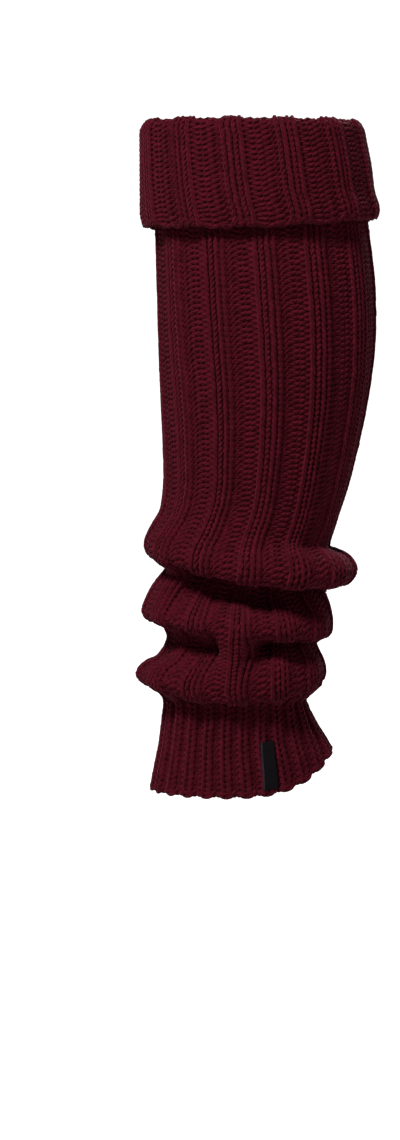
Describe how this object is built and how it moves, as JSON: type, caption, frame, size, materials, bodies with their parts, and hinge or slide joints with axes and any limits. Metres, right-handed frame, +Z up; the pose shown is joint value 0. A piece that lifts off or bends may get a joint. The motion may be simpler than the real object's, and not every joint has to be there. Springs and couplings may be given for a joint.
{
  "type": "leg warmer",
  "caption": "Chunky rib-knit leg warmer in its worn form: an open, hollow tube with a turned-down top cuff, slouched folds above the ankle, a finer ankle cuff and a bare label.",
  "frame": {"origin": "on the axis of the leg, at the height where the top cuff grips it", "axes": "+Z up along the leg towards the knee, +X to the back of the calf, -Y to the outer side of the leg, where the label is"},
  "size_m": [0.1356, 0.1116, 0.3734],
  "materials": {
    "yarn": "matte burgundy chunky knit, slightly fuzzy",
    "label": "black woven satin tab, bare"
  },
  "bodies": {
    "root": {"leg_tube": "yarn", "top_cuff": "yarn", "ankle_cuff": "yarn", "label": "label"}
  },
  "joints": []
}
